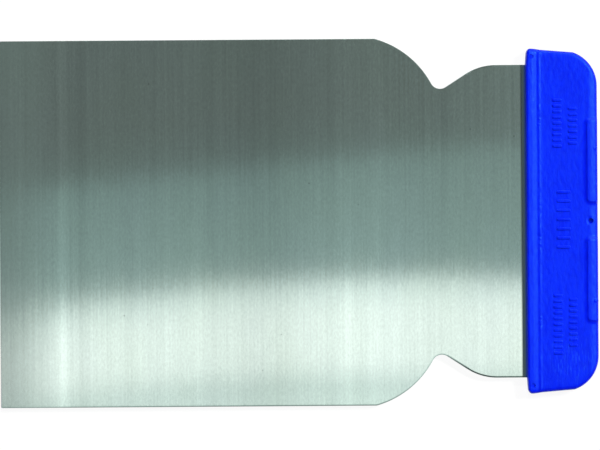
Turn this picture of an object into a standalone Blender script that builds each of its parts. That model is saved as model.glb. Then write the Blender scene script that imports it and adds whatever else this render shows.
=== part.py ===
"""Flexible filling knife: a thin steel blade whose tang is locked in a moulded plastic back.

Metres, +Z up. X runs from the working edge to the back and Y along the working edge. The origin
is under the middle of the knife, on the plane that its lowest faces rest on. Every size stands
below once, and all places are worked out from these sizes.
"""

import math

import bmesh
import bpy

# Blade sheet
BLADE_WIDTH = 0.0800
BODY_LENGTH = 0.0820            # working edge to the corner where a shoulder starts
BLADE_THICKNESS = 0.0005
EDGE_THICKNESS = 0.0003         # what the grinding leaves at the working edge
GROUND_LENGTH = 0.0140          # ground zone behind the working edge
EDGE_CORNER_RADIUS = 0.0004

# Finger notch in each side of the blade
SHOULDER_RADIUS = 0.0201
SHOULDER_ENTRY_ANGLE = 15.5     # degrees between the side and the start of the shoulder
NOTCH_DEPTH = 0.0110            # side of the blade to the floor of the notch
NOTCH_RADIUS = 0.0022
RAMP_ANGLE = 33.0               # degrees between the ramp out of the notch and the X axis
NECK_RISE = 0.0051              # floor of the notch out to the side of the neck
NECK_RADIUS = 0.0120
NECK_LENGTH = 0.0065            # straight stretch of the neck in front of the back

# Tang, the end of the neck inside the back, and the posts that lock it
TANG_DEPTH = 0.0115
TANG_CORNER_RADIUS = 0.0030
POST_COUNT = 4
POST_DIAMETER = 0.0046
POST_SETBACK = 0.0068           # front of the back to the middle of the posts
FIT_GAP = 0.0001                # left between plastic and steel on every side

# Back
BACK_DEPTH = 0.0156             # front of the lip to the rear edge
BACK_THICKNESS = 0.0045         # between the two main faces
BACK_OVERHANG = 0.0035          # past each side of the neck
END_TAPER = 4.7                 # degrees between each end of the back and the X axis
REAR_CORNER_RADIUS = 0.0078
REAR_CORNER_ENTRY = 19.5        # degrees between the X axis and the start of a rear corner
BACK_EDGE_ROUNDING = 0.0005

# Lip across the front of the back, and the fine bead behind it, on both faces
LIP_WIDTH = 0.0025
LIP_HEIGHT = 0.0004
LIP_ROUNDING = 0.0007
LIP_CORNER_RADIUS = 0.0011
BEAD_WIDTH = 0.0005
BEAD_HEIGHT = 0.00018
BEAD_ROUNDING = 0.00012
BEAD_GAP = 0.0002               # groove between lip and bead

# Two raised strips along the rear edge, on both faces
STRIP_LENGTH = 0.0174
STRIP_WIDTH = 0.0019
STRIP_HEIGHT = 0.00045
STRIP_ROUNDING = 0.00025
STRIP_CORNER_RADIUS = 0.0007
STRIP_SPACING = 0.0085          # clear stretch between the two strips
STRIP_SETBACK = 0.0003          # rear edge of the back to the strips

# Marks that the mould leaves in the upper face
GATE_DIAMETER = 0.0013
GATE_DEPTH = 0.0008
GATE_DISH_DIAMETER = 0.0028
GATE_DISH_DEPTH = 0.0002
GATE_SETBACK = 0.0019           # rear edge of the back to the middle of the gate
PIN_MARK_DIAMETER = 0.0008
PIN_MARK_DEPTH = 0.0005
PIN_MARK_INSET = 0.0018         # end of the lip to the middle of a pin mark

# Fineness of round stretches, and how far cutters reach past what they cut
FACET_DEPTH = 0.000015          # deepest a facet may lie inside its arc
ROUNDING_STEPS = 2
WELD_DISTANCE = 0.000001
SHARP_ANGLE = 40.0              # degrees
REACH = 0.0010

# Shoulder arc, notch fillet, ramp and neck arc run into each other without a corner
ENTRY = math.radians(SHOULDER_ENTRY_ANGLE)
RAMP = math.radians(RAMP_ANGLE)
HALF_BLADE = BLADE_WIDTH / 2
NOTCH_FLOOR = HALF_BLADE - NOTCH_DEPTH
HALF_NECK = NOTCH_FLOOR + NECK_RISE
SHOULDER_CENTRE_Y = HALF_BLADE - SHOULDER_RADIUS * math.cos(ENTRY)
SHOULDER_EXIT = math.acos((NOTCH_FLOOR + NOTCH_RADIUS - SHOULDER_CENTRE_Y) / (SHOULDER_RADIUS + NOTCH_RADIUS))
RAMP_LENGTH = (NECK_RISE - (NOTCH_RADIUS + NECK_RADIUS) * (1 - math.cos(RAMP))) / math.sin(RAMP)

# Distances from the working edge along the knife
SHOULDER_CENTRE = BODY_LENGTH - SHOULDER_RADIUS * math.sin(ENTRY)
NOTCH_CENTRE = SHOULDER_CENTRE + (SHOULDER_RADIUS + NOTCH_RADIUS) * math.sin(SHOULDER_EXIT)
NECK_CENTRE = NOTCH_CENTRE + (NOTCH_RADIUS + NECK_RADIUS) * math.sin(RAMP) + RAMP_LENGTH * math.cos(RAMP)
BACK_FRONT = NECK_CENTRE + NECK_LENGTH
TANG_END = BACK_FRONT + TANG_DEPTH
KNIFE_LENGTH = BACK_FRONT + BACK_DEPTH
HALF_BACK = HALF_NECK + BACK_OVERHANG

# The blade's middle plane is the middle plane of the back
MIDDLE_Z = BACK_THICKNESS / 2 + max(LIP_HEIGHT, STRIP_HEIGHT)
UPPER_FACE_Z = MIDDLE_Z + BACK_THICKNESS / 2


def along(distance):
    """Return the X coordinate of a distance from the working edge."""
    return distance - KNIFE_LENGTH / 2


def facet_angle(radius):
    """Return the angle of one facet of an arc."""
    return 2 * math.acos(1 - FACET_DEPTH / radius)


def arc(centre_x, centre_y, radius, start, end):
    """Return points on an arc; angles are in radians, clockwise from +Y."""
    steps = max(2, math.ceil(abs(end - start) / facet_angle(radius)))
    angles = [start + (end - start) * step / steps for step in range(steps + 1)]
    return [(centre_x + radius * math.sin(a), centre_y + radius * math.cos(a)) for a in angles]


def both_sides(points):
    """Close an outline by mirroring its +Y half across the X axis."""
    return points + [(x, -y) for x, y in reversed(points)]


def circle(centre_x, centre_y, diameter):
    """Return a round outline."""
    return arc(centre_x, centre_y, diameter / 2, 0.0, 2 * math.pi)[:-1]


def rectangle(start_x, end_x, start_y, end_y):
    """Return a rectangle, clockwise from its lower left."""
    return [(start_x, start_y), (start_x, end_y), (end_x, end_y), (end_x, start_y)]


def rounded_bar(start_x, end_x, start_y, end_y, radius):
    """Return a rectangle with rounded corners, clockwise from its upper left."""
    quarter = math.pi / 2
    corners = [
        (start_x + radius, end_y - radius, -quarter),
        (end_x - radius, end_y - radius, 0.0),
        (end_x - radius, start_y + radius, quarter),
        (start_x + radius, start_y + radius, 2 * quarter),
    ]
    points = []
    for centre_x, centre_y, start in corners:
        points += arc(centre_x, centre_y, radius, start, start + quarter)
    return points


def make_collection(name):
    """Add a collection to the scene."""
    collection = bpy.data.collections.new(name)
    bpy.context.scene.collection.children.link(collection)
    return collection


def make_material(name, colour, roughness, metallic):
    """Return a Principled material of one colour."""
    material = bpy.data.materials.new(name)
    material.use_nodes = True
    shader = material.node_tree.nodes["Principled BSDF"]
    shader.inputs["Base Color"].default_value = (*colour, 1.0)
    shader.inputs["Roughness"].default_value = roughness
    shader.inputs["Metallic"].default_value = metallic
    return material


def solid_from_curve(name, curve, collection):
    """Turn a filled curve into a closed mesh object, shaded smooth up to its sharp edges."""
    shape = bpy.data.objects.new(name + "_curve", curve)
    bpy.context.scene.collection.objects.link(shape)
    graph = bpy.context.evaluated_depsgraph_get()
    mesh = bpy.data.meshes.new_from_object(shape.evaluated_get(graph))
    bpy.data.objects.remove(shape)
    bpy.data.curves.remove(curve)

    welded = bmesh.new()
    welded.from_mesh(mesh)
    bmesh.ops.remove_doubles(welded, verts=welded.verts, dist=WELD_DISTANCE)
    bmesh.ops.recalc_face_normals(welded, faces=welded.faces)
    welded.to_mesh(mesh)
    welded.free()
    mesh.shade_smooth()
    mesh.set_sharp_from_angle(angle=math.radians(SHARP_ANGLE))

    solid = bpy.data.objects.new(name, mesh)
    collection.objects.link(solid)
    return solid


def plate(name, outlines, low_z, high_z, collection, rounding=0.0):
    """Return a flat solid between two heights; outlines after the first are holes."""
    curve = bpy.data.curves.new(name, "CURVE")
    curve.dimensions = "2D"
    curve.fill_mode = "BOTH"
    curve.extrude = (high_z - low_z) / 2 - rounding
    curve.bevel_depth = rounding
    curve.bevel_resolution = ROUNDING_STEPS
    curve.offset = -rounding
    for outline in outlines:
        spline = curve.splines.new("POLY")
        spline.points.add(len(outline) - 1)
        for point, (x, y) in zip(spline.points, outline):
            point.co = (x, y, 0.0, 1.0)
        spline.use_cyclic_u = True
    solid = solid_from_curve(name, curve, collection)
    solid.location.z = (low_z + high_z) / 2
    return solid


def boolean(target, operation, tool):
    """Join a tool to the target, cut it away, or keep what both share; the tool stays hidden."""
    modifier = target.modifiers.new(tool.name, "BOOLEAN")
    modifier.operation = operation
    modifier.solver = "EXACT"
    modifier.object = tool
    tool.hide_render = True
    tool.display_type = "WIRE"


def post_places():
    """Return the middles of the posts, evenly spread across the tang."""
    pitch = 2 * HALF_NECK / POST_COUNT
    first = (1 - POST_COUNT) / 2 * pitch
    return [(along(BACK_FRONT + POST_SETBACK), first + number * pitch) for number in range(POST_COUNT)]


def blade_outline():
    """Return the outline of the sheet: body, finger notches, neck and tang."""
    quarter = math.pi / 2
    points = arc(along(EDGE_CORNER_RADIUS), HALF_BLADE - EDGE_CORNER_RADIUS, EDGE_CORNER_RADIUS, -quarter, 0.0)
    points += arc(along(SHOULDER_CENTRE), SHOULDER_CENTRE_Y, SHOULDER_RADIUS, ENTRY, SHOULDER_EXIT)
    fillet_y = NOTCH_FLOOR + NOTCH_RADIUS
    points += arc(along(NOTCH_CENTRE), fillet_y, NOTCH_RADIUS, math.pi + SHOULDER_EXIT, math.pi - RAMP)[1:]
    points += arc(along(NECK_CENTRE), HALF_NECK - NECK_RADIUS, NECK_RADIUS, -RAMP, 0.0)
    points += tang_end(0.0)
    return both_sides(points)


def tang_end(gap):
    """Return the rounded +Y corner of the tang, or of a slot that clears it by a gap."""
    radius = TANG_CORNER_RADIUS + gap
    return arc(along(TANG_END) - TANG_CORNER_RADIUS, HALF_NECK - TANG_CORNER_RADIUS, radius, 0.0, math.pi / 2)


def ground_section():
    """Return the blade's side view as an outline of X and thickness, past both ends of the blade."""
    lost_per_length = (BLADE_THICKNESS - EDGE_THICKNESS) / GROUND_LENGTH
    tip = (along(-REACH), (EDGE_THICKNESS - lost_per_length * REACH) / 2)
    heel = (along(GROUND_LENGTH), BLADE_THICKNESS / 2)
    rear = (along(TANG_END + REACH), BLADE_THICKNESS / 2)
    return both_sides([tip, heel, rear])


def make_blade(parts, tools, steel):
    """Blank the sheet, pierce its tang and grind both faces thinner towards the working edge."""
    holes = [circle(x, y, POST_DIAMETER + 2 * FIT_GAP) for x, y in post_places()]
    blank_height = BLADE_THICKNESS / 2 + REACH
    blade = plate("blade", [blade_outline(), *holes], MIDDLE_Z - blank_height, MIDDLE_Z + blank_height, parts)
    blade.data.materials.append(steel)

    half_span = HALF_BLADE + REACH
    section = plate("ground_section", [ground_section()], -half_span, half_span, tools)
    section.rotation_euler.x = math.pi / 2
    section.location.z = MIDDLE_Z
    boolean(blade, "INTERSECT", section)


def back_outline(front):
    """Return the main outline of the back: tapered ends and round rear corners."""
    entry = math.radians(REAR_CORNER_ENTRY)
    centre = KNIFE_LENGTH - REAR_CORNER_RADIUS
    arc_start = centre + REAR_CORNER_RADIUS * math.sin(entry)
    taper = math.tan(math.radians(END_TAPER))
    arc_start_y = HALF_BACK - taper * (arc_start - BACK_FRONT)
    points = [(along(front), HALF_BACK - taper * (front - BACK_FRONT))]
    centre_y = arc_start_y - REAR_CORNER_RADIUS * math.cos(entry)
    points += arc(along(centre), centre_y, REAR_CORNER_RADIUS, entry, math.pi / 2)
    return both_sides(points)


def raised_plate(name, outline, height, tools, rounding):
    """Return a plate that stands proud of both main faces of the back."""
    half_height = BACK_THICKNESS / 2 + height
    return plate(name, [outline], MIDDLE_Z - half_height, MIDDLE_Z + half_height, tools, rounding)


def make_back(parts, tools, plastic):
    """Join the raised features to the body of the back, then cut its slot and its mould marks."""
    body_front = BACK_FRONT + LIP_WIDTH / 2
    half_height = BACK_THICKNESS / 2
    low, high = MIDDLE_Z - half_height, MIDDLE_Z + half_height
    back = plate("moulded_back", [back_outline(body_front)], low, high, parts, BACK_EDGE_ROUNDING)
    back.data.materials.append(plastic)

    lip = rounded_bar(along(BACK_FRONT), along(BACK_FRONT + LIP_WIDTH), -HALF_BACK, HALF_BACK, LIP_CORNER_RADIUS)
    boolean(back, "UNION", raised_plate("lip", lip, LIP_HEIGHT, tools, LIP_ROUNDING))

    bead_start = BACK_FRONT + LIP_WIDTH + BEAD_GAP
    bead_half = HALF_BACK - LIP_CORNER_RADIUS
    bead = rectangle(along(bead_start), along(bead_start + BEAD_WIDTH), -bead_half, bead_half)
    boolean(back, "UNION", raised_plate("bead", bead, BEAD_HEIGHT, tools, BEAD_ROUNDING))

    strip_end = KNIFE_LENGTH - STRIP_SETBACK
    for name, start in (("strip_near", -STRIP_SPACING / 2 - STRIP_LENGTH), ("strip_far", STRIP_SPACING / 2)):
        strip = rounded_bar(
            along(strip_end - STRIP_WIDTH), along(strip_end), start, start + STRIP_LENGTH, STRIP_CORNER_RADIUS
        )
        boolean(back, "UNION", raised_plate(name, strip, STRIP_HEIGHT, tools, STRIP_ROUNDING))

    boolean(back, "DIFFERENCE", make_slot(tools))
    for mark in make_mould_marks(tools):
        boolean(back, "DIFFERENCE", mark)


def make_slot(tools):
    """Return the space for the tang; its holes leave the posts standing in the back."""
    mouth = [(along(BACK_FRONT - REACH), HALF_NECK + FIT_GAP)]
    outline = both_sides(mouth + tang_end(FIT_GAP))
    posts = [circle(x, y, POST_DIAMETER) for x, y in post_places()]
    half_height = BLADE_THICKNESS / 2 + FIT_GAP
    return plate("tang_slot", [outline, *posts], MIDDLE_Z - half_height, MIDDLE_Z + half_height, tools)


def make_mould_marks(tools):
    """Return the cutters for the gate, its dish, and the pin mark near each end of the lip."""
    gate_x = along(KNIFE_LENGTH - GATE_SETBACK)
    dish = [circle(gate_x, 0.0, GATE_DISH_DIAMETER)]
    gate = [circle(gate_x, 0.0, GATE_DIAMETER)]
    marks = [
        plate("gate_dish", dish, UPPER_FACE_Z - GATE_DISH_DEPTH, UPPER_FACE_Z + REACH, tools),
        plate("gate", gate, UPPER_FACE_Z - GATE_DEPTH, UPPER_FACE_Z + REACH, tools),
    ]
    lip_x = along(BACK_FRONT + LIP_WIDTH / 2)
    lip_z = UPPER_FACE_Z + LIP_HEIGHT
    for name, side in (("pin_mark_near", -1), ("pin_mark_far", 1)):
        pin = [circle(lip_x, side * (HALF_BACK - PIN_MARK_INSET), PIN_MARK_DIAMETER)]
        marks.append(plate(name, pin, lip_z - PIN_MARK_DEPTH, lip_z + REACH, tools))
    return marks


def main():
    """Clear the scene and build the knife."""
    for item in list(bpy.data.objects):
        bpy.data.objects.remove(item)
    parts = make_collection("filling_knife")
    tools = make_collection("filling_knife_cutters")
    steel = make_material("spring_steel", (0.36, 0.42, 0.40), 0.32, 1.0)
    plastic = make_material("blue_plastic", (0.006, 0.028, 0.90), 0.38, 0.0)
    make_blade(parts, tools, steel)
    make_back(parts, tools, plastic)


main()
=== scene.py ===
"""Looks of a flexible filling knife: a brushed spring steel blade in a moulded blue plastic back.

Metres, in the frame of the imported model: X runs from the working edge to the back, Y along the
working edge, +Z up. Main places come from the frame, and the sizes below repeat the model's own.
"""

import math

import bmesh
import bpy
from mathutils import Matrix, Vector, geometry, noise


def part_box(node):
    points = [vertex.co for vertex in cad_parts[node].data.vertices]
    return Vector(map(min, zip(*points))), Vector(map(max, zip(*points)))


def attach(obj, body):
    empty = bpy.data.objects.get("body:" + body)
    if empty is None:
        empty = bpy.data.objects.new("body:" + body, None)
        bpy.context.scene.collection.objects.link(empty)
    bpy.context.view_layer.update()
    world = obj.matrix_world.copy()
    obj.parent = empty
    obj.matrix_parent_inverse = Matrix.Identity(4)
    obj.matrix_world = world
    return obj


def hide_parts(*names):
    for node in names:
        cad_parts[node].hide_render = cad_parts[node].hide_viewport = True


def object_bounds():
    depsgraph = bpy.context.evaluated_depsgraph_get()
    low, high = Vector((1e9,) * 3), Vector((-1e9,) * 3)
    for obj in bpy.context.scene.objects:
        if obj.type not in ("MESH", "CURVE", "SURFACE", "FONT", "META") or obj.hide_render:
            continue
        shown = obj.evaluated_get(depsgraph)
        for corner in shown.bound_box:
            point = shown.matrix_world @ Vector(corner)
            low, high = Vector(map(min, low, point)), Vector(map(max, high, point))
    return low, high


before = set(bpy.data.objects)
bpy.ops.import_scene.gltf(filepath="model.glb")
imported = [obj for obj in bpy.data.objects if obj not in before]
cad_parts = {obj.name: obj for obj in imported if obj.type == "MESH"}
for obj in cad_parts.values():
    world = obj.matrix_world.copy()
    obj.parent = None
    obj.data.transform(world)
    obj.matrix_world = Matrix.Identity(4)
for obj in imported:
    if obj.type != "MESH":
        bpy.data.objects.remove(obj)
cad_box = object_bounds()
blade_low, blade_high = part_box("blade")
back_low, back_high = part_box("moulded_back")

# Places read from the frame
EDGE_X = blade_low.x
TANG_END_X = blade_high.x
HALF_BLADE = blade_high.y
FRONT_X = back_low.x
REAR_X = back_high.x
HALF_BACK = back_high.y
MIDDLE_Z = (back_low.z + back_high.z) / 2

# Blade sheet
BODY_LENGTH = 0.0820
BLADE_THICKNESS = 0.0005
EDGE_THICKNESS = 0.0003
GROUND_LENGTH = 0.0140
HEEL_BLEND = 0.0012             # half the length over which the ground zone runs out
HEEL_CUTS = 5
EDGE_CORNER_RADIUS = 0.0004
SHEARED_ROUNDING = 0.00001      # rounding that tumbling leaves along the sheet's edges
DROOP_WIDTH = 0.00034           # border over which shearing draws the faces down
NECK_DROOP = 0.00014            # how far it draws them down along the neck
FLAT_BORDER = 0.00010           # flat border inside it

# Finger notch in each side of the blade
SHOULDER_RADIUS = 0.0201
SHOULDER_ENTRY = math.radians(15.5)
NOTCH_DEPTH = 0.0110
NOTCH_RADIUS = 0.0022
RAMP = math.radians(33.0)
NECK_RISE = 0.0051
NECK_RADIUS = 0.0120

# Tang and the posts that lock it
TANG_CORNER_RADIUS = 0.0030
POST_COUNT = 4
POST_DIAMETER = 0.0046
POST_SETBACK = 0.0068
FIT_GAP = 0.0001

# Back
BACK_THICKNESS = 0.0045
END_TAPER = math.tan(math.radians(4.7))
REAR_CORNER_RADIUS = 0.0078
REAR_CORNER_ENTRY = math.radians(19.5)
BACK_ROUNDING = 0.0009
REAR_FALL = 0.00034             # how far the faces would drop behind the front of the strips
DRAFT_INSET = 0.00004           # how far the mould's draft pulls the walls in at the main faces
FLASH_WIDTH = 0.00003           # how far the parting line stands out
FLASH_HEIGHT = 0.00012

# Lip across the front: rounded front, crest, groove and bead
LIP_HEIGHT = 0.0004
LIP_WIDTH = 0.0025
LIP_ROUNDING = 0.00052
LIP_CORNER_RADIUS = 0.00095
LIP_SOFTNESS = 0.00020          # how far the corners of its section are softened
CORNER_SWEEP = 0.00028          # how far the front recedes from the blade's neck to the back's ends
CORNER_REACH = 0.0016           # depth over which that runs out
BEAD_PLACE = 0.00290            # middle of the bead, behind the front
BEAD_REACH = 0.00045            # half its width
BEAD_HEIGHT = 0.00006
BEAD_ROUGHNESS = 0.00018        # how unevenly it stands out
BEAD_GRAIN = 0.0004             # length of its bumps
# Section under the bead: distance behind the front, and height over a main face
LIP_SECTION = (
    (0.0, LIP_HEIGHT),
    (LIP_ROUNDING, LIP_HEIGHT),
    (0.00148, 0.00032),
    (0.00222, 0.00006),
    (BEAD_PLACE, 0.00006),
    (0.00380, 0.00001),
    (0.00480, 0.0),
)

# Raised strips along the rear edge, with a hollow foot around them
STRIP_LENGTH = 0.0174
STRIP_WIDTH = 0.0019
STRIP_HEIGHT = 0.00045
STRIP_CORNER_RADIUS = 0.0007
STRIP_SPACING = 0.0085
STRIP_SETBACK = 0.0003
STRIP_FOOT = 0.00070            # width of the foot
STRIP_FOOT_SHARE = 0.45         # share of the height that the foot reaches
STRIP_RISER = 0.00030           # width of the steep stretch between foot and top

# Marks that the mould leaves in the upper face
GATE_SETBACK = 0.0016
GATE_DIAMETER = 0.0012
GATE_DEPTH = 0.0014
DISH_DIAMETER = 0.0021
DISH_DEPTH = 0.00012
PIN_MARK_DIAMETER = 0.0010
PIN_MARK_DEPTHS = {"near": 0.0006, "far": 0.0003}
PIN_MARK_INSET = 0.0018

# Burrs on the rear edge of the strips: place along it, and how far each stands out
BURR_RADIUS = 0.0008
BURR_TURN = math.radians(40.0)  # where on the rounded edge they sit, from the top
BURRS = (
    (0.0158, 0.00006),
    (-0.0174, 0.00011),
)

# Plain raised ticks on the upper face: middle of a row, tick length, pitch and count
TICK_WIDTH = 0.00062
TICK_HEIGHT = 0.00034
TICK_ROOT = 0.00136             # how deep a tick reaches into the back
TICK_ROUNDING = 0.00012
TICK_CORNER_RADIUS = TICK_WIDTH / 2.2
TICK_ROWS = (
    (0.0564, 0.0213, 0.0020, 0.00125, 9),
    (0.0598, 0.0207, 0.0020, 0.00125, 7),
    (0.0577, 0.0003, 0.0030, 0.00200, 7),
    (0.0564, -0.0225, 0.0020, 0.00125, 11),
    (0.0597, -0.0221, 0.0018, 0.00125, 9),
)

# Fineness of round stretches and of the back's grid
FACET_DEPTH = 0.000003          # how far an arc's chords may cut it short
ROUNDING_STEPS = 6
BALL_SEGMENTS = 64
FINE_STEP = 0.00007             # grid spacing under the lip
COARSE_STEP = 0.0006            # grid spacing elsewhere
REAR_STEPS = 24                 # around a rear corner
STRIP_STEPS = 18                # across the foot in front of a strip
END_STEPS = 14                  # across the foot at a strip's end
FAN_STEPS = 14                  # rows that fan out at each end
FAN_MARGIN = 0.0006
WELD_DISTANCE = 0.000001
BACK_SHARP_ANGLE = math.radians(32.0)
BLADE_SHARP_ANGLE = math.radians(8.0)
REACH = 0.0010                  # how far cutters reach past a surface

# Camera, straight above the blade
IMAGE_WIDTH = 600
IMAGE_SCALE = 4585.0            # pixels in a metre of the blade
SENSOR_WIDTH = 36.0             # millimetres
CAMERA_DISTANCE = 1.00
CAMERA_PLACE = (0.0003, -0.0005)
CAMERA_ROLL = math.radians(-0.4)

# Light: a panel overhead whose bands the blade mirrors, and lamps
PANEL_HEIGHT = 0.30             # above the blade
PANEL_SIZE = 1.2
PANEL_TURN = math.tan(math.radians(4.2))
PANEL_SPREAD = 1.1              # how fast its bands widen towards the back, per metre of blade
PANEL_BOW = 0.94                # how strongly its lower bands bow, per metre of blade
PANEL_BOW_MIDDLE = -0.003       # where along the blade they are highest
PANEL_BOW_LIFT = 0.0011         # how far they are lifted there
PANEL_BOW_START = (0.010, -0.008)   # where across the blade the bow begins, and where it is full
PANEL_FADE = (0.038, 0.066)     # where along the blade the panel grows more even
PANEL_EVEN = 0.45               # its least brightness beyond that
LAMP_DISTANCE = 2.0
# Lamps: direction, size, power, and whether they light surfaces and show as a sheen on them
LAMPS = {
    "key_light": ((0.51, 0.26, 0.82), 0.30, 26.2, True, True),
    "fill_light": ((0.0, 0.55, 0.835), 0.30, 10.4, True, False),
    "side_card": ((0.70, 0.59, 0.40), 3.0, 49.0, False, True),
    "far_card": ((0.05, 0.90, 0.35), 1.5, 20.0, False, True),
}
WORLD_LIGHT = 0.20              # how strongly the world lights surfaces
FLOOR_SIZE = 6.0
FLOOR_GLOW = 0.92               # how white the floor is in a shadow
FLOOR_SHADE = 0.12              # how much of the lamps' light is added to that
FLOOR_BOUNCE = 0.35             # share of its light that the floor sends back to the walls
# What the blade mirrors: place across the blade, brightness of the panel there, and its warmth
PANEL_STOPS = (
    (-0.0750, 0.15, 1.00),
    (-0.0460, 0.80, 1.05),
    (-0.0405, 1.35, 1.10),
    (-0.0368, 1.05, 1.07),
    (-0.0315, 1.52, 1.17),
    (-0.0210, 1.55, 1.17),
    (-0.0158, 1.38, 1.12),
    (-0.0112, 0.54, 0.95),
    (-0.0070, 0.50, 0.91),
    (0.0118, 0.40, 0.91),
    (0.0150, 0.24, 1.00),
    (0.0250, 0.215, 1.05),
    (0.0900, 0.20, 1.05),
)

# Outline values that follow from the sizes
NOTCH_FLOOR = HALF_BLADE - NOTCH_DEPTH
HALF_NECK = NOTCH_FLOOR + NECK_RISE
SHOULDER_Y = HALF_BLADE - SHOULDER_RADIUS * math.cos(SHOULDER_ENTRY)
SHOULDER_EXIT = math.acos((NOTCH_FLOOR + NOTCH_RADIUS - SHOULDER_Y) / (SHOULDER_RADIUS + NOTCH_RADIUS))
RAMP_LENGTH = (NECK_RISE - (NOTCH_RADIUS + NECK_RADIUS) * (1 - math.cos(RAMP))) / math.sin(RAMP)
SHOULDER_X = EDGE_X + BODY_LENGTH - SHOULDER_RADIUS * math.sin(SHOULDER_ENTRY)
NOTCH_X = SHOULDER_X + (SHOULDER_RADIUS + NOTCH_RADIUS) * math.sin(SHOULDER_EXIT)
NECK_X = NOTCH_X + (NOTCH_RADIUS + NECK_RADIUS) * math.sin(RAMP) + RAMP_LENGTH * math.cos(RAMP)
UPPER_Z = MIDDLE_Z + BACK_THICKNESS / 2
BLADE_TOP_Z = MIDDLE_Z + BLADE_THICKNESS / 2
GATE_X = REAR_X - GATE_SETBACK
STRIP_X = REAR_X - STRIP_SETBACK - STRIP_WIDTH
REAR_ARC_X = REAR_X - REAR_CORNER_RADIUS
REAR_ARC_START = REAR_ARC_X + REAR_CORNER_RADIUS * math.sin(REAR_CORNER_ENTRY)
REAR_ARC_Y = (
    HALF_BACK - END_TAPER * (REAR_ARC_START - FRONT_X) - REAR_CORNER_RADIUS * math.cos(REAR_CORNER_ENTRY)
)
FAN_Y = REAR_ARC_Y - FAN_MARGIN   # rows further out fan towards the back's ends

# Brushed steel: patterns, each with its width, its length and how far it swings the tone
STEEL_PATTERNS = {
    "lines": (0.0005, 0.045, 0.20),
    "mottle": (0.0004, 0.0008, 0.30),
    "blotches": (0.0020, 0.0040, 0.10),
    "bands": (0.003, 0.4, 0.17),
}
STEEL_CLOUDS = (0.015, 0.025)   # width and length of the broad waves in the sheet
STEEL_STROKES = (0.0005, 0.0025)    # width and length of the short strokes in its brushing
STROKE_DETAIL = 1.0
PATTERN_DEPTH = 1.0             # far thicker than the sheet, so patterns run right through it
LINE_TILT = 0.03                # how far the lines tilt the surface across them
STROKE_TILT = 0.005             # how far the strokes tilt it along the lines
CLOUD_TILT = 0.003              # how far the broad waves do
STEEL_TINTS = ((0.43, 0.60, 0.53, 1.0), (0.44, 0.60, 0.57, 1.0))
STEEL_ROUGHNESS = 0.12
STEEL_ROUGHNESS_SWING = 0.15
GROUND_START = 0.0010           # from the working edge, where the look of the ground zone is full
GROUND_TONE = 0.66
GROUND_MIRROR = 0.79            # share of the ground zone that mirrors as bare metal does
GROUND_ROUGHNESS = 0.16
# Bands that rolling leaves: place from the working edge, half width, change of tone
ROLLED_BANDS = (
    (0.0138, 0.0018, 0.13),
    (0.0177, 0.0014, -0.06),
    (0.0461, 0.0024, -0.07),
    (0.0570, 0.0120, -0.10),
    (0.0750, 0.0035, 0.06),
    (0.0825, 0.0110, 0.08),
)
PIT_SPACING = 0.006             # between rust pits, of which only some reach the surface
PIT_RADIUS = 0.00024
PIT_CORE_RADIUS = 0.00008
PIT_DARKNESS = 0.45
SHADOW_BAND_WIDTH = 0.0008            # painted shadow on the steel along the back's mouth: a dark matt band where the back shades the blade
SHADOW_BAND_FADE = 0.00045          # stretch over which painted shade darkens the steel before it
SHADOW_BAND_TONE = 0.15               # tone of the steel at its edge, with the painted shade
SHADOW_BAND_EDGE = SHADOW_BAND_FADE / 4
REFLECTED_BLUE_WIDTH = 0.00048       # stretch over which the band turns blue towards the back, a painted reflection of the blue back
# Colours of the band: painted shadow grey, then painted reflection blue towards the back
SHADOW_BAND_COLOURS = ((0.115, 0.195, 0.195, 1.0), (0.025, 0.08, 0.45, 1.0))
SHADOW_BAND_ROUGHNESS = 0.4
NONMETAL_SPECULAR = 0.2

# Blue plastic: size of its patterns along X, Y and Z
PLASTIC_CLOUDS = (0.006, 0.010, 0.006)
PLASTIC_BLOTCHES = (0.0008, 0.0018, 0.0010)
PLASTIC_GRAIN = (0.00016, 0.00016, 0.00016)
PLASTIC_SCUFFS = (0.00022, 0.0022, 0.0022)
CLOUD_DETAIL = 3.0
BLUES = ((0.0, 0.0005, 0.90, 1.0), (0.0, 0.005, 1.0, 1.0))
BLUE_RANGE = (0.38, 0.62)       # noise from the darker blue to the paler one
WORN_BLUE = (0.010, 0.060, 1.0, 1.0)
WORN_EDGES = (0.53, 0.62)       # how sharp an edge is where wear begins, and where it is full
WEAR_RANGE = (0.42, 0.62)       # noise from little wear to most
WEAR_AMOUNTS = (0.1, 0.5)
SCUFF_PLACE = (0.0592, -0.0300, UPPER_Z)    # where handling has scuffed it most
SCUFF_REACH = 0.0065
SCUFF_CORE = SCUFF_REACH / 3
SCUFF_AMOUNTS = (0.15, 0.8)     # scuffing away from that place, and at it
SCUFF_RANGE = (0.54, 0.66)      # noise from unmarked to scuffed
PLASTIC_ROUGHNESS = 0.39
CLOUD_ROUGHNESS_SWING = 0.25
GRAIN_ROUGHNESS_SWING = 0.2
PLASTIC_SPECULAR = 0.25
PLASTIC_SPECULAR_TINT = (0.18, 0.95, 1.0, 1.0)
# Bumps: share of their height that shows, and that height
BLOTCH_BUMP = {"Strength": 0.42, "Distance": 0.00016}
GRAIN_BUMP = {"Strength": 0.35, "Distance": 0.00003}


# Outlines

def smooth_step(value):
    """Return a smooth rise from 0 to 1."""
    share = min(1.0, max(0.0, value))
    return share * share * (3 - 2 * share)


def arc(centre_x, centre_y, radius, start, end):
    """Return points on an arc; angles are in radians, clockwise from +Y."""
    step_angle = 2 * math.acos(1 - FACET_DEPTH / radius)
    steps = max(2, math.ceil(abs(end - start) / step_angle))
    angles = [start + (end - start) * step / steps for step in range(steps + 1)]
    return [(centre_x + radius * math.sin(a), centre_y + radius * math.cos(a)) for a in angles]


def both_sides(points):
    """Close an outline by mirroring its +Y half across the X axis."""
    return points + [(x, -y) for x, y in reversed(points)]


def circle(centre_x, centre_y, diameter):
    """Return a round outline."""
    return arc(centre_x, centre_y, diameter / 2, 0.0, 2 * math.pi)[:-1]


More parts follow.
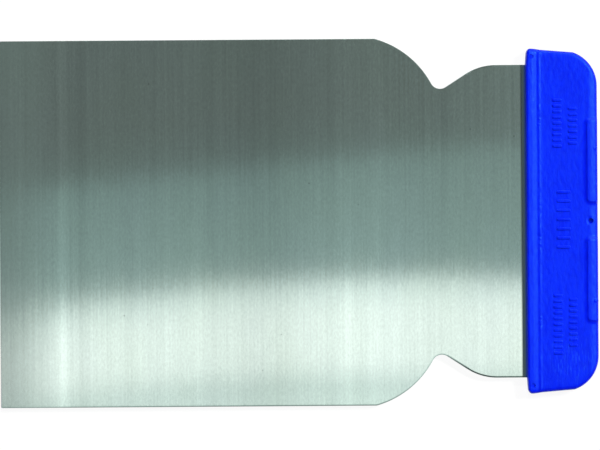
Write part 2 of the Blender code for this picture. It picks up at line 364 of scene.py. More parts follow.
def rounded_bar(start_x, end_x, start_y, end_y, radius):
    """Return a rectangle with rounded corners, clockwise from its upper left."""
    quarter = math.pi / 2
    corners = (
        (start_x + radius, end_y - radius, -quarter),
        (end_x - radius, end_y - radius, 0.0),
        (end_x - radius, start_y + radius, quarter),
        (start_x + radius, start_y + radius, 2 * quarter),
    )
    points = []
    for centre_x, centre_y, start in corners:
        points += arc(centre_x, centre_y, radius, start, start + quarter)
    return points


def tang_end(gap):
    """Return the rounded +Y corner of the tang, or of a slot that clears it by a gap."""
    radius = TANG_CORNER_RADIUS + gap
    return arc(TANG_END_X - TANG_CORNER_RADIUS, HALF_NECK - TANG_CORNER_RADIUS, radius, 0.0, math.pi / 2)


def blade_outline():
    """Return the outline of the sheet: body, finger notches, neck and tang."""
    corner_y = HALF_BLADE - EDGE_CORNER_RADIUS
    points = arc(EDGE_X + EDGE_CORNER_RADIUS, corner_y, EDGE_CORNER_RADIUS, -math.pi / 2, 0.0)
    points += arc(SHOULDER_X, SHOULDER_Y, SHOULDER_RADIUS, SHOULDER_ENTRY, SHOULDER_EXIT)
    fillet_y = NOTCH_FLOOR + NOTCH_RADIUS
    points += arc(NOTCH_X, fillet_y, NOTCH_RADIUS, math.pi + SHOULDER_EXIT, math.pi - RAMP)[1:]
    points += arc(NECK_X, HALF_NECK - NECK_RADIUS, NECK_RADIUS, -RAMP, 0.0)
    points += tang_end(0.0)
    return both_sides(points)


def post_places():
    """Return the middles of the posts, evenly spread across the tang."""
    pitch = 2 * HALF_NECK / POST_COUNT
    first = (1 - POST_COUNT) / 2 * pitch
    return [(FRONT_X + POST_SETBACK, first + number * pitch) for number in range(POST_COUNT)]


# Mesh tools

def add_object(name, mesh):
    """Put a mesh into the scene."""
    made = bpy.data.objects.new(name, mesh)
    bpy.context.scene.collection.objects.link(made)
    return made


def evaluated_mesh(source):
    """Return a copy of an object's mesh with its modifiers applied."""
    graph = bpy.context.evaluated_depsgraph_get()
    return bpy.data.meshes.new_from_object(source.evaluated_get(graph))


def clean(mesh):
    """Weld a mesh's loose seams and turn its faces outwards."""
    edited = bmesh.new()
    edited.from_mesh(mesh)
    bmesh.ops.remove_doubles(edited, verts=edited.verts, dist=WELD_DISTANCE)
    bmesh.ops.recalc_face_normals(edited, faces=edited.faces)
    edited.to_mesh(mesh)
    edited.free()


def plate(name, outlines, low_z, high_z, rounding=0.0):
    """Return a flat solid between two heights; outlines inside others are holes."""
    curve = bpy.data.curves.new(name, "CURVE")
    curve.dimensions = "2D"
    curve.fill_mode = "BOTH"
    curve.extrude = (high_z - low_z) / 2 - rounding
    curve.bevel_depth = rounding
    curve.bevel_resolution = ROUNDING_STEPS
    curve.offset = -rounding
    for outline in outlines:
        spline = curve.splines.new("POLY")
        spline.points.add(len(outline) - 1)
        for point, (x, y) in zip(spline.points, outline):
            point.co = (x, y, 0.0, 1.0)
        spline.use_cyclic_u = True
    shape = add_object(name + "_curve", curve)
    mesh = evaluated_mesh(shape)
    bpy.data.objects.remove(shape)
    bpy.data.curves.remove(curve)
    clean(mesh)
    mesh.transform(Matrix.Translation((0.0, 0.0, (low_z + high_z) / 2)))
    return add_object(name, mesh)


def ball(name, centre, radius):
    """Return a sphere, for round cuts and burrs."""
    edited = bmesh.new()
    bmesh.ops.create_uvsphere(edited, u_segments=BALL_SEGMENTS, v_segments=BALL_SEGMENTS, radius=radius)
    bmesh.ops.translate(edited, verts=edited.verts, vec=centre)
    mesh = bpy.data.meshes.new(name)
    edited.to_mesh(mesh)
    edited.free()
    return add_object(name, mesh)


def combine(target, operation, tools):
    """Join tools to the target or cut them away, and remove them."""
    for tool in tools:
        modifier = target.modifiers.new(tool.name, "BOOLEAN")
        modifier.operation = operation
        modifier.solver = "MANIFOLD"
        modifier.object = tool
    mesh = evaluated_mesh(target)
    target.modifiers.clear()
    target.data = mesh
    for tool in tools:
        bpy.data.objects.remove(tool)


def shade(piece, sharp_angle):
    """Shade a piece smooth up to its sharp edges."""
    piece.data.shade_smooth()
    piece.data.set_sharp_from_angle(angle=sharp_angle)


# Blade

def sheet_thickness(distance):
    """Return the blade's thickness at a distance from the working edge."""
    lost = BLADE_THICKNESS - EDGE_THICKNESS
    slope = lost / GROUND_LENGTH
    into_blend = distance - (GROUND_LENGTH - HEEL_BLEND)
    if into_blend <= 0:
        return EDGE_THICKNESS + slope * distance
    if into_blend >= 2 * HEEL_BLEND:
        return BLADE_THICKNESS
    left = 1 - into_blend / (2 * HEEL_BLEND)
    return BLADE_THICKNESS - slope * HEEL_BLEND * left ** 2


def inset(outline, distance):
    """Return a clockwise outline moved inwards."""
    moved = []
    for number, (x, y) in enumerate(outline):
        here = Vector((x, y))
        before = here - Vector(outline[number - 1])
        after = Vector(outline[(number + 1) % len(outline)]) - here
        along = (before.normalized() + after.normalized()).normalized()
        moved.append((x + along.y * distance, y - along.x * distance))
    return moved


def droop_depth(x):
    """Return how far shearing drew the sheet's edge down."""
    return NECK_DROOP * smooth_step((x - NOTCH_X) / (NECK_X - NOTCH_X))


def edge_section(droop):
    """Return the sheet's edge from its upper to its lower face: steps in from the outline, and heights."""
    half = BLADE_THICKNESS / 2
    steps = [(DROOP_WIDTH + FLAT_BORDER, half), (DROOP_WIDTH, half)]
    for step in range(ROUNDING_STEPS + 1):
        angle = step / ROUNDING_STEPS * math.pi / 2
        lowered = droop + SHEARED_ROUNDING * (1 - math.cos(angle))
        steps.append((SHEARED_ROUNDING * (1 - math.sin(angle)), half - lowered))
    return steps + [(step_in, -height) for step_in, height in reversed(steps)]


def bridge(edited, rings):
    """Join rings of vertices, each to the next, with a band of faces."""
    for ring, following in zip(rings, rings[1:]):
        for k in range(len(ring)):
            edited.faces.new((ring[k - 1], ring[k], following[k], following[k - 1]))


def make_sheet():
    """Return the sheet: two flat faces with holes, and drawn and rounded edges between them."""
    outline = blade_outline()
    holes = [circle(x, y, POST_DIAMETER + 2 * FIT_GAP) for x, y in post_places()]
    edited = bmesh.new()
    sections = [edge_section(droop_depth(x)) for x, _ in outline]
    rings = []
    for step, (step_in, _) in enumerate(sections[0]):
        ring = []
        for (x, y), section in zip(inset(outline, step_in), sections):
            ring.append(edited.verts.new((x, y, MIDDLE_Z + section[step][1])))
        rings.append(ring)
    bridge(edited, rings)
    walls = []
    for hole in holes:
        ends = (rings[0][0].co.z, rings[-1][0].co.z)
        walls.append([[edited.verts.new((x, y, z)) for x, y in hole] for z in ends])
        bridge(edited, walls[-1])
    for end in (0, -1):
        borders = [rings[end], *[wall[end] for wall in walls]]
        vertices = [vertex for border in borders for vertex in border]
        for corners in geometry.tessellate_polygon([[vertex.co for vertex in border] for border in borders]):
            edited.faces.new([vertices[corner] for corner in corners])
    bmesh.ops.recalc_face_normals(edited, faces=edited.faces)
    return edited


def make_blade():
    """Grind the sheet thinner towards the working edge and lay its grain."""
    edited = make_sheet()
    for cut in range(HEEL_CUTS):
        heel_x = EDGE_X + GROUND_LENGTH + HEEL_BLEND * (2 * cut / (HEEL_CUTS - 1) - 1)
        everything = edited.verts[:] + edited.edges[:] + edited.faces[:]
        bmesh.ops.bisect_plane(edited, geom=everything, plane_co=(heel_x, 0, 0), plane_no=(1, 0, 0))
    for vertex in edited.verts:
        share = sheet_thickness(vertex.co.x - EDGE_X) / BLADE_THICKNESS
        vertex.co.z = MIDDLE_Z + (vertex.co.z - MIDDLE_Z) * share
    grain = edited.loops.layers.uv.new("grain")
    for face in edited.faces:
        for loop in face.loops:
            x, y, z = loop.vert.co
            loop[grain].uv = ((x + z - EDGE_X) / (2 * HALF_BLADE), (y + z + HALF_BLADE) / (2 * HALF_BLADE))
    mesh = bpy.data.meshes.new("steel_blade")
    edited.to_mesh(mesh)
    edited.free()
    blade = add_object("steel_blade", mesh)
    shade(blade, BLADE_SHARP_ANGLE)
    return blade


# Back

def rear_angles():
    """Return the grid's places around a rear corner, closer together in front of the strips."""
    sweep = math.pi / 2 - REAR_CORNER_ENTRY
    even = [REAR_CORNER_ENTRY + sweep * step / REAR_STEPS for step in range(REAR_STEPS + 1)]
    inner_radius = REAR_CORNER_RADIUS - BACK_ROUNDING - DRAFT_INSET
    start = math.asin((STRIP_X - STRIP_RISER - STRIP_FOOT - REAR_ARC_X) / inner_radius)
    end = math.asin((STRIP_X - REAR_ARC_X) / inner_radius)
    close = [start + (end - start) * step / STRIP_STEPS for step in range(STRIP_STEPS + 1)]
    return sorted([angle for angle in even if not start < angle < end] + close)


def rim_outline():
    """Return the +Y half of the back's widest outline, from the front corner to the rear edge."""
    corner_y = HALF_BACK - LIP_CORNER_RADIUS
    points = arc(FRONT_X + LIP_CORNER_RADIUS, corner_y, LIP_CORNER_RADIUS, -math.pi / 2, 0.0)
    x = points[-1][0] + FINE_STEP
    while x < REAR_ARC_START - COARSE_STEP / 2:
        behind_front = x - FRONT_X
        drop = END_TAPER * behind_front * smooth_step((behind_front - LIP_CORNER_RADIUS) / LIP_WIDTH)
        points.append((x, HALF_BACK - drop))
        x += FINE_STEP if behind_front < LIP_SECTION[-1][0] else COARSE_STEP
    for angle in rear_angles():
        points.append((
            REAR_ARC_X + REAR_CORNER_RADIUS * math.sin(angle),
            REAR_ARC_Y + REAR_CORNER_RADIUS * math.cos(angle),
        ))
    return points


def grid_rows():
    """Return the grid's rows from -Y to +Y: a place along Y, and a share of the way from there to the rim."""
    inner, outer = STRIP_SPACING / 2, STRIP_SPACING / 2 + STRIP_LENGTH
    strip_ends = (-outer, -inner, inner, outer)
    steps = round(2 * FAN_Y / COARSE_STEP)
    rows = [FAN_Y * (2 * step / steps - 1) for step in range(steps + 1)]
    rows = [y for y in rows if min(abs(y - end) for end in strip_ends) > STRIP_RISER + STRIP_FOOT]
    for end in strip_ends:
        outside = STRIP_RISER + STRIP_FOOT
        rows += [end + outside * (2 * step / END_STEPS - 1) for step in range(END_STEPS + 1)]
    shares = [step / FAN_STEPS for step in range(1, FAN_STEPS + 1)]
    near = [(-FAN_Y, share) for share in reversed(shares)]
    far = [(FAN_Y, share) for share in shares]
    return near + [(y, 0.0) for y in sorted(rows)] + far


def section_height(behind_front):
    """Return the height of the lip's section, with straight runs between its points."""
    for (start, low), (end, high) in zip(LIP_SECTION, LIP_SECTION[1:]):
        if behind_front < end:
            return low + (high - low) * (behind_front - start) / (end - start)
    return 0.0


def lip_height(behind_front, y):
    """Return how far the lip and its rough bead stand above a main face."""
    around = [behind_front + LIP_SOFTNESS * share for share in (-1.0, -0.5, 0.0, 0.5, 1.0)]
    height = sum(section_height(place) for place in around) / len(around)
    near_bead = 1 - smooth_step(abs(behind_front - BEAD_PLACE) / BEAD_REACH)
    roughness = BEAD_ROUGHNESS * noise.noise(Vector((0.0, y / BEAD_GRAIN, 0.0)))
    return height + (BEAD_HEIGHT + roughness) * near_bead


def strip_height(x, y):
    """Return how far a strip and its foot stand above a main face; its +Y end runs out softly."""
    into_front = x - STRIP_X
    from_middle = y - math.copysign((STRIP_SPACING + STRIP_LENGTH) / 2, y)
    into_end = STRIP_LENGTH / 2 - abs(from_middle)
    from_corner = [max(0.0, STRIP_CORNER_RADIUS - inside) for inside in (into_front, into_end)]
    outside = max(0.0, math.hypot(*from_corner) - STRIP_CORNER_RADIUS)
    if outside < STRIP_RISER:
        share = 1 - (1 - STRIP_FOOT_SHARE) * (outside / STRIP_RISER) ** 2
    else:
        share = STRIP_FOOT_SHARE * max(0.0, 1 - (outside - STRIP_RISER) / STRIP_FOOT) ** 2
    soft = 1 - smooth_step(outside / (STRIP_RISER + STRIP_FOOT))
    at_soft_end = smooth_step(1 + (from_middle - STRIP_LENGTH / 2) / STRIP_CORNER_RADIUS)
    return STRIP_HEIGHT * (share + (soft - share) * at_soft_end)


def corner_sweep(x, y):
    """Return how far the front recedes at a place beyond the blade's neck."""
    beyond_neck = max(0.0, abs(y) - HALF_NECK) / (HALF_BACK - HALF_NECK)
    return CORNER_SWEEP * beyond_neck * smooth_step(1 - (x - FRONT_X) / CORNER_REACH)


def rear_fall(x):
    """Return how far a main face drops towards the rear edge."""
    return REAR_FALL * (max(0.0, x - STRIP_X) / STRIP_WIDTH) ** 2


def rim_normals(rim):
    """Return the directions out of the rim, straight forwards and backwards at its two ends."""
    last = len(rim) - 1
    tangents = [Vector(rim[min(i + 1, last)]) - Vector(rim[max(i - 1, 0)]) for i in range(len(rim))]
    normals = [Vector((-tangent.y, tangent.x)).normalized() for tangent in tangents]
    normals[0] = Vector((-1.0, 0.0))
    normals[last] = Vector((1.0, 0.0))
    return normals


def wall_section(radius, top):
    """Return the wall's section from the upper to the lower face: steps out, and heights over the middle."""
    steps = []
    for step in range(1, ROUNDING_STEPS + 1):
        angle = step / ROUNDING_STEPS * math.pi / 2
        steps.append((radius * math.sin(angle), top - radius * (1 - math.cos(angle))))
    steps.append((radius + DRAFT_INSET, FLASH_HEIGHT / 2))
    steps.append((radius + DRAFT_INSET + FLASH_WIDTH, FLASH_HEIGHT / 4))
    return steps + [(step_out, -height) for step_out, height in reversed(steps)]


def make_body():
    """Return the back without its slot and marks, as a grid over its outline with rounded walls."""
    rim = rim_outline()
    rows = grid_rows()
    last = len(rim) - 1
    top_row = len(rows) - 1
    edited = bmesh.new()
    upper = {}
    lower = {}
    outwards = {}
    rounding = {}
    for i, ((x, y), normal) in enumerate(zip(rim, rim_normals(rim))):
        radius = BACK_ROUNDING + (LIP_ROUNDING - BACK_ROUNDING) * smooth_step(-normal.x)
        inner_x = x - normal.x * (radius + DRAFT_INSET)
        inner_y = y - normal.y * (radius + DRAFT_INSET)
        for j, (row_y, share) in enumerate(rows):
            place_y = row_y + math.copysign(share * (inner_y - FAN_Y), row_y)
            height = BACK_THICKNESS / 2 - rear_fall(inner_x)
            height += lip_height(inner_x - FRONT_X, place_y) + strip_height(inner_x, place_y)
            upper[i, j] = edited.verts.new((inner_x, place_y, MIDDLE_Z + height))
            lower[i, j] = edited.verts.new((inner_x, place_y, MIDDLE_Z - height))
            side = {0: -1, top_row: 1}.get(j, 0)
            outwards[i, j] = Vector((normal.x, side * normal.y, 0.0))
            rounding[i, j] = radius
    for i in range(last):
        for j in range(top_row):
            corners = ((i, j), (i + 1, j), (i + 1, j + 1), (i, j + 1))
            edited.faces.new([upper[c] for c in corners])
            edited.faces.new([lower[c] for c in reversed(corners)])

    border = [(0, j) for j in range(top_row)] + [(i, top_row) for i in range(last)]
    border += [(last, j) for j in range(top_row, 0, -1)] + [(i, 0) for i in range(last, 0, -1)]
    sections = [wall_section(rounding[c], upper[c].co.z - MIDDLE_Z) for c in border]
    rings = [[upper[c] for c in border]]
    for steps in zip(*sections):
        ring = []
        for c, (step_out, height) in zip(border, steps):
            place = upper[c].co + outwards[c] * step_out
            ring.append(edited.verts.new((place.x, place.y, MIDDLE_Z + height)))
        rings.append(ring)
    rings.append([lower[c] for c in border])
    bridge(edited, rings)
    for vertex in edited.verts:
        vertex.co.x += corner_sweep(vertex.co.x, vertex.co.y)
    bmesh.ops.recalc_face_normals(edited, faces=edited.faces)
    mesh = bpy.data.meshes.new("plastic_back")
    edited.to_mesh(mesh)
    edited.free()
    return add_object("plastic_back", mesh)


def make_ticks():
    """Return rows of plain raised ticks across the upper face."""
    bars = []
    for middle_x, middle_y, length, pitch, count in TICK_ROWS:
        for number in range(count):
            y = middle_y + (number - (count - 1) / 2) * pitch
            bars.append(rounded_bar(
                middle_x - length / 2, middle_x + length / 2,
                y - TICK_WIDTH / 2, y + TICK_WIDTH / 2, TICK_CORNER_RADIUS,
            ))
    return plate("ticks", bars, UPPER_Z - TICK_ROOT, UPPER_Z + TICK_HEIGHT, TICK_ROUNDING)


def make_burrs():
    """Return balls that stand out of the strips' rounded rear edge."""
    balls = []
    edge_x = REAR_X - DRAFT_INSET - BACK_ROUNDING
    edge_z = UPPER_Z + STRIP_HEIGHT - rear_fall(edge_x) - BACK_ROUNDING
    for number, (y, height) in enumerate(BURRS):
        reach = BACK_ROUNDING + height - BURR_RADIUS
        centre = (edge_x + reach * math.sin(BURR_TURN), y, edge_z + reach * math.cos(BURR_TURN))
        balls.append(ball(f"burr_{number}", centre, BURR_RADIUS))
    return balls


def make_cuts():
    """Return the cutters for the tang's slot, the gate and the pin marks."""
    mouth = [(FRONT_X - REACH, HALF_NECK + FIT_GAP)]
    posts = [circle(x, y, POST_DIAMETER) for x, y in post_places()]
    half = BLADE_THICKNESS / 2 + FIT_GAP
    cuts = [plate("slot", [both_sides(mouth + tang_end(FIT_GAP)), *posts], MIDDLE_Z - half, MIDDLE_Z + half)]

    dish_radius = ((DISH_DIAMETER / 2) ** 2 + DISH_DEPTH ** 2) / (2 * DISH_DEPTH)
    cuts.append(ball("dish", (GATE_X, 0.0, UPPER_Z - DISH_DEPTH + dish_radius), dish_radius))
    cuts.append(plate("gate", [circle(GATE_X, 0.0, GATE_DIAMETER)], UPPER_Z - GATE_DEPTH, UPPER_Z + REACH))

    lip_x = FRONT_X + LIP_WIDTH / 2
    lip_z = UPPER_Z + LIP_HEIGHT
    for name, side in (("near", -1), ("far", 1)):
        mark = circle(lip_x, side * (HALF_BACK - PIN_MARK_INSET), PIN_MARK_DIAMETER)
        cuts.append(plate("pin_mark_" + name, [mark], lip_z - PIN_MARK_DEPTHS[name], lip_z + REACH))
    return cuts


def make_back():
    """Join the raised features to the body of the back and cut its slot and marks."""
    back = make_body()
    combine(back, "UNION", [make_ticks(), *make_burrs()])
    combine(back, "DIFFERENCE", make_cuts())
    clean(back.data)
    shade(back, BACK_SHARP_ANGLE)
    return back


# Materials

class Nodes:
    """A node tree that is written step by step."""

    def __init__(self, tree):
        self.tree = tree

    def add(self, kind, inputs, output=0, **settings):
        """Add a node, fill its inputs with values or links, and return one of its outputs."""
        made = self.tree.nodes.new(kind)
        for name, value in settings.items():
            setattr(made, name, value)
        for name, value in inputs.items():
            self.feed(made.inputs[name], value)
        return made.outputs[output]

    def feed(self, socket, value):
        """Link a socket to another one, or set its value."""
        if isinstance(value, bpy.types.NodeSocket):
            self.tree.links.new(value, socket)
        else:
            socket.default_value = value

    def math(self, operation, first, second=0.0):
        """Return the result of a sum on two numbers."""
        return self.add("ShaderNodeMath", {0: first, 1: second}, operation=operation)

    def centred(self, value, amount):
        """Return a noise value as a change around 0."""
        return self.math("MULTIPLY", self.math("SUBTRACT", value, 0.5), amount)

    def swing(self, value, amount):
        """Return a noise value as a share around 1."""
        return self.math("ADD", self.centred(value, amount), 1.0)

    def noise(self, place, sizes, detail=2.0):
        """Return noise whose features have these sizes along X, Y and Z."""
        scale = tuple(1 / size for size in sizes)
        spread = self.add("ShaderNodeMapping", {"Vector": place, "Scale": scale})
        return self.add("ShaderNodeTexNoise", {"Vector": spread, "Scale": 1.0, "Detail": detail}, "Fac")

    def rise(self, value, low, high, to_low=0.0, to_high=1.0):
        """Return a smooth change between two numbers as a value goes from low to high."""
        limits = {"From Min": low, "From Max": high, "To Min": to_low, "To Max": to_high}
        return self.add("ShaderNodeMapRange", {"Value": value, **limits}, interpolation_type="SMOOTHSTEP")

    def colour_mix(self, share, first, second):
        """Return a mix of two colours."""
        return self.add("ShaderNodeMix", {0: share, 6: first, 7: second}, 2, data_type="RGBA")


def new_material(name):
    """Return a new material, its node writer and its Principled shader."""
    material = bpy.data.materials.new(name)
    material.use_nodes = True
    return material, Nodes(material.node_tree), material.node_tree.nodes["Principled BSDF"]


def steel_tone(nodes, place, from_edge, patterns):
    """Return how bright bare steel is, with its patterns, ground zone, rolled bands and rust pits."""
    tone = nodes.rise(from_edge, GROUND_START, GROUND_LENGTH, GROUND_TONE, 1.0)
    for name, (_, _, amount) in STEEL_PATTERNS.items():
        tone = nodes.math("MULTIPLY", tone, nodes.swing(patterns[name], amount))
    for middle, half_width, amount in ROLLED_BANDS:
        from_middle = nodes.math("ABSOLUTE", nodes.math("SUBTRACT", from_edge, middle))
        tone = nodes.math("MULTIPLY", tone, nodes.rise(from_middle, half_width, 0.0, 1.0, 1 + amount))
    from_pit = nodes.add("ShaderNodeTexVoronoi", {"Vector": place, "Scale": 1 / PIT_SPACING}, "Distance")
    pit = PIT_RADIUS / PIT_SPACING
    core = PIT_CORE_RADIUS / PIT_SPACING
    return nodes.math("MULTIPLY", tone, nodes.rise(from_pit, pit, core, 1.0, 1 - PIT_DARKNESS))


def brushed_normal(nodes, lines, strokes, clouds):
    """Return the surface's direction, tilted by brushed lines, short strokes and broad waves."""
    lengthways = nodes.math("ADD", nodes.centred(strokes, STROKE_TILT), nodes.centred(clouds, CLOUD_TILT))
    tilt = nodes.add("ShaderNodeCombineXYZ", {"X": nodes.centred(lines, LINE_TILT), "Y": lengthways})
    tilt = nodes.add(
        "ShaderNodeVectorTransform", {"Vector": tilt},
        vector_type="VECTOR", convert_from="OBJECT", convert_to="WORLD",
    )
    facing = nodes.add("ShaderNodeNewGeometry", {}, "Normal")
    tilted = nodes.add("ShaderNodeVectorMath", {0: facing, 1: tilt}, operation="ADD")
    return nodes.add("ShaderNodeVectorMath", {0: tilted}, operation="NORMALIZE")


def make_steel():
    """Return spring steel: brushed along the working edge, ground near it, with painted shadow and reflection
    of the back along its mouth.
    """
    material, nodes, shader = new_material("brushed_spring_steel")
    place = nodes.add("ShaderNodeTexCoord", {}, "Object")
    along = nodes.add("ShaderNodeSeparateXYZ", {"Vector": place}, "X")
    from_edge = nodes.math("SUBTRACT", along, EDGE_X)
    patterns = {}
    for name, (width, length, _) in STEEL_PATTERNS.items():
        patterns[name] = nodes.noise(place, (width, length, PATTERN_DEPTH))
    clouds = nodes.noise(place, (*STEEL_CLOUDS, PATTERN_DEPTH))
    strokes = nodes.noise(place, (*STEEL_STROKES, PATTERN_DEPTH), STROKE_DETAIL)

    # Painted shade: the steel darkens towards the back's mouth, and a dark matt band there stands for the
    # back's shadow and blue reflection
    shadow_band_start = FRONT_X - SHADOW_BAND_WIDTH
    painted_darkening = nodes.rise(along, shadow_band_start - SHADOW_BAND_FADE, shadow_band_start, 1.0, SHADOW_BAND_TONE)
    tone = nodes.math("MULTIPLY", steel_tone(nodes, place, from_edge, patterns), painted_darkening)
    tint = nodes.colour_mix(clouds, *STEEL_TINTS)
    steel = nodes.add("ShaderNodeVectorMath", {"Vector": tint, "Scale": tone}, operation="SCALE")
    painted_shadow_band = nodes.rise(along, shadow_band_start - SHADOW_BAND_EDGE, shadow_band_start)
    painted_shadow_colour = nodes.colour_mix(nodes.rise(along, FRONT_X - REFLECTED_BLUE_WIDTH, FRONT_X), *SHADOW_BAND_COLOURS)
    nodes.feed(shader.inputs["Base Color"], nodes.colour_mix(painted_shadow_band, steel, painted_shadow_colour))

    mirror = nodes.rise(from_edge, GROUND_START, GROUND_LENGTH, GROUND_MIRROR, 1.0)
    nodes.feed(shader.inputs["Metallic"], nodes.math("MULTIPLY", mirror, nodes.math("SUBTRACT", 1.0, painted_shadow_band)))
    shader.inputs["Specular IOR Level"].default_value = NONMETAL_SPECULAR
    rough = nodes.rise(from_edge, GROUND_LENGTH, GROUND_START, STEEL_ROUGHNESS, GROUND_ROUGHNESS)
    rough = nodes.math("MULTIPLY", rough, nodes.swing(patterns["lines"], STEEL_ROUGHNESS_SWING))
    rough = nodes.math("ADD", rough, nodes.math("MULTIPLY", painted_shadow_band, SHADOW_BAND_ROUGHNESS))
    nodes.feed(shader.inputs["Roughness"], rough)
    shader.inputs["Anisotropic"].default_value = 1.0
    grain = nodes.add("ShaderNodeTangent", {}, direction_type="UV_MAP", uv_map="grain")
    nodes.feed(shader.inputs["Tangent"], grain)
    nodes.feed(shader.inputs["Normal"], brushed_normal(nodes, patterns["lines"], strokes, clouds))
    return material


def make_plastic():
    """Return satin blue moulded plastic with worn edges and fine scuffs."""
    material, nodes, shader = new_material("moulded_blue_plastic")
    place = nodes.add("ShaderNodeTexCoord", {}, "Object")
    clouds = nodes.noise(place, PLASTIC_CLOUDS, CLOUD_DETAIL)
    blotches = nodes.noise(place, PLASTIC_BLOTCHES)
    grain = nodes.noise(place, PLASTIC_GRAIN)
    scuffs = nodes.noise(place, PLASTIC_SCUFFS)

    mean = nodes.math("MULTIPLY", nodes.math("ADD", clouds, blotches), 0.5)
    blue = nodes.colour_mix(nodes.rise(mean, *BLUE_RANGE), *BLUES)
    edge = nodes.add("ShaderNodeNewGeometry", {}, "Pointiness")
    uneven = nodes.rise(clouds, *WEAR_RANGE, *WEAR_AMOUNTS)
    wear = nodes.math("MULTIPLY", nodes.rise(edge, *WORN_EDGES), uneven)
    away = nodes.add("ShaderNodeVectorMath", {0: place, 1: SCUFF_PLACE}, "Value", operation="DISTANCE")
    handled = nodes.rise(away, SCUFF_REACH, SCUFF_CORE, *SCUFF_AMOUNTS)
    rubbed = nodes.math("MULTIPLY", nodes.rise(scuffs, *SCUFF_RANGE), handled)
    worn = nodes.math("MAXIMUM", wear, rubbed)
    nodes.feed(shader.inputs["Base Color"], nodes.colour_mix(worn, blue, WORN_BLUE))

    rough = nodes.math("MULTIPLY", nodes.swing(clouds, CLOUD_ROUGHNESS_SWING), PLASTIC_ROUGHNESS)
    rough = nodes.math("MULTIPLY", rough, nodes.swing(grain, GRAIN_ROUGHNESS_SWING))
    nodes.feed(shader.inputs["Roughness"], rough)
    shader.inputs["Specular IOR Level"].default_value = PLASTIC_SPECULAR
    shader.inputs["Specular Tint"].default_value = PLASTIC_SPECULAR_TINT
    waves = nodes.add("ShaderNodeBump", {"Height": blotches, **BLOTCH_BUMP})
    normal = nodes.add("ShaderNodeBump", {"Height": grain, "Normal": waves, **GRAIN_BUMP})
    nodes.feed(shader.inputs["Normal"], normal)
    return material


def grey(level):
    """Return a colour without a tint."""
    return (level, level, level, 1.0)


def seen_directly(nodes):
    """Return 1 for rays from the camera, a mirror or glass, and 0 for light on its way to a surface."""
    path = nodes.tree.nodes.new("ShaderNodeLightPath").outputs
    mirrored = nodes.math("MAXIMUM", path["Is Glossy Ray"], path["Is Transmission Ray"])
    return nodes.math("MAXIMUM", path["Is Camera Ray"], mirrored)


def make_floor_material():
    """Return a white floor that keeps a soft shadow and can be seen through from below."""
    material, nodes, shader = new_material("white_floor")
    nodes.tree.nodes.remove(shader)
    lit = nodes.add("ShaderNodeBsdfDiffuse", {"Color": grey(FLOOR_BOUNCE)})
    shaded = nodes.add("ShaderNodeBsdfDiffuse", {"Color": grey(FLOOR_SHADE)})
    glow = nodes.add("ShaderNodeEmission", {"Strength": FLOOR_GLOW})
    white = nodes.add("ShaderNodeAddShader", {0: glow, 1: shaded})
    upper = nodes.add("ShaderNodeMixShader", {0: seen_directly(nodes), 1: lit, 2: white})
    below = nodes.add("ShaderNodeNewGeometry", {}, "Backfacing")
    clear = nodes.add("ShaderNodeBsdfTransparent", {})
    both = nodes.add("ShaderNodeMixShader", {0: below, 1: upper, 2: clear})
    output = nodes.tree.nodes["Material Output"]
    nodes.feed(output.inputs["Surface"], both)
    return material


def make_panel_material():
    """Return the light of the panel overhead, in bands that show as the blade's reflection."""
    material, nodes, shader = new_material("overhead_light")
    nodes.tree.nodes.remove(shader)
    place = nodes.add("ShaderNodeTexCoord", {}, "Object")
    widening = 1 + PANEL_HEIGHT / CAMERA_DISTANCE
    mirrored = nodes.add("ShaderNodeVectorMath", {0: place, "Scale": 1 / widening}, operation="SCALE")
    along = nodes.add("ShaderNodeSeparateXYZ", {"Vector": mirrored}, "X")
    across = nodes.add("ShaderNodeSeparateXYZ", {"Vector": mirrored}, "Y")
    across = nodes.math("SUBTRACT", across, nodes.math("MULTIPLY", along, PANEL_TURN))
    across = nodes.math("DIVIDE", across, nodes.math("ADD", nodes.math("MULTIPLY", along, PANEL_SPREAD), 1.0))
    from_middle = nodes.math("SUBTRACT", along, PANEL_BOW_MIDDLE)
    bow = nodes.math("MULTIPLY", nodes.math("MULTIPLY", from_middle, from_middle), PANEL_BOW)
    bow = nodes.math("SUBTRACT", bow, PANEL_BOW_LIFT)
    bow = nodes.math("MULTIPLY", bow, nodes.rise(across, *PANEL_BOW_START))
    across = nodes.math("ADD", across, bow)
    low, high = PANEL_STOPS[0][0], PANEL_STOPS[-1][0]
    share = nodes.add("ShaderNodeMapRange", {"Value": across, "From Min": low, "From Max": high})
    ramp = nodes.tree.nodes.new("ShaderNodeValToRGB")
    nodes.feed(ramp.inputs["Fac"], share)
    brightest = max(level * warmth for _, level, warmth in PANEL_STOPS)
    stops = ramp.color_ramp.elements
    while len(stops) < len(PANEL_STOPS):
        stops.new(0.5)
    for stop, (y, level, warmth) in zip(stops, PANEL_STOPS):
        stop.position = (y - low) / (high - low)
        stop.color = (level * warmth / brightest, level / brightest, level / brightest, 1.0)
    fade = nodes.rise(along, *PANEL_FADE)
    even = nodes.math("MULTIPLY", fade, PANEL_EVEN / brightest)
    colour = nodes.add("ShaderNodeVectorMath", {0: ramp.outputs["Color"], 1: even}, operation="MAXIMUM")
    light = nodes.add("ShaderNodeEmission", {"Color": colour, "Strength": brightest})
    nodes.feed(nodes.tree.nodes["Material Output"].inputs["Surface"], light)
    return material


# Stage

def square(name, size, z, upwards):
    """Return a square sheet that faces up or down."""
    edited = bmesh.new()
    bmesh.ops.create_grid(edited, x_segments=1, y_segments=1, size=size / 2)
    if not upwards:
        bmesh.ops.reverse_faces(edited, faces=edited.faces)
    mesh = bpy.data.meshes.new(name)
    edited.to_mesh(mesh)
    edited.free()
    made = add_object(name, mesh)
    made.location.z = z
    return made


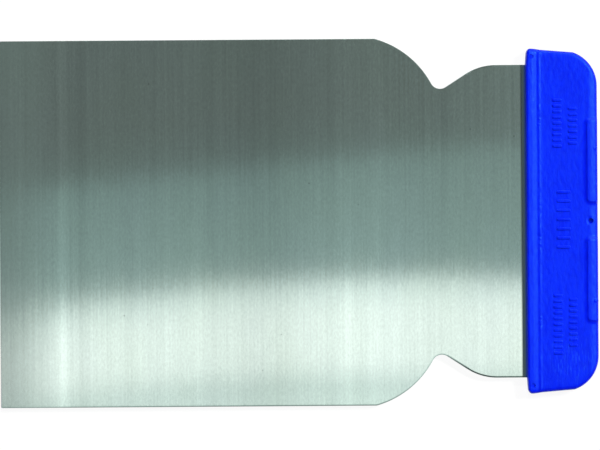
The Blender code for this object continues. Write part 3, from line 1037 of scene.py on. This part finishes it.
def make_lamp(name, direction, size, power, lights, shows):
    """Set a round lamp that shines from a direction."""
    light = bpy.data.lights.new(name, "AREA")
    light.shape = "DISK"
    light.size = size
    light.energy = power
    lamp = bpy.data.objects.new(name, light)
    towards = Vector(direction).normalized()
    lamp.location = towards * LAMP_DISTANCE
    lamp.rotation_euler = towards.to_track_quat("Z", "Y").to_euler()
    lamp.visible_camera = False
    lamp.visible_diffuse = lights
    lamp.visible_glossy = shows
    bpy.context.scene.collection.objects.link(lamp)


def make_stage():
    """Lay the floor, hang the panel that the blade mirrors and set the lamps and the world."""
    floor = square("floor", FLOOR_SIZE, cad_box[0].z, True)
    floor.data.materials.append(make_floor_material())
    panel = square("overhead_panel", PANEL_SIZE, BLADE_TOP_Z + PANEL_HEIGHT, False)
    panel.data.materials.append(make_panel_material())
    panel.visible_camera = False
    panel.visible_diffuse = False
    panel.visible_shadow = False

    for name, settings in LAMPS.items():
        make_lamp(name, *settings)

    world = bpy.data.worlds.new("studio")
    world.use_nodes = True
    nodes = Nodes(world.node_tree)
    background = world.node_tree.nodes["Background"]
    background.inputs["Color"].default_value = grey(1.0)
    nodes.feed(background.inputs["Strength"], nodes.rise(seen_directly(nodes), 0.0, 1.0, WORLD_LIGHT, 1.0))
    bpy.context.scene.world = world


def make_camera():
    """Look straight down at the blade, with the photograph's width across the blade."""
    camera = bpy.data.cameras.new("camera")
    camera.sensor_fit = "HORIZONTAL"
    camera.sensor_width = SENSOR_WIDTH
    camera.lens = SENSOR_WIDTH * CAMERA_DISTANCE / (IMAGE_WIDTH / IMAGE_SCALE)
    camera.clip_start = CAMERA_DISTANCE / 100
    holder = bpy.data.objects.new("camera", camera)
    holder.location = (*CAMERA_PLACE, BLADE_TOP_Z + CAMERA_DISTANCE)
    holder.rotation_euler.z = CAMERA_ROLL
    bpy.context.scene.collection.objects.link(holder)
    bpy.context.scene.camera = holder


def dress(piece, node, material):
    """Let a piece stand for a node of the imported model, in its own material."""
    piece.data.materials.clear()
    piece.data.materials.append(material)
    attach(piece, "root")
    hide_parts(node)


dress(make_blade(), "blade", make_steel())
dress(make_back(), "moulded_back", make_plastic())
make_stage()
make_camera()
bpy.context.scene.view_settings.view_transform = "Standard"
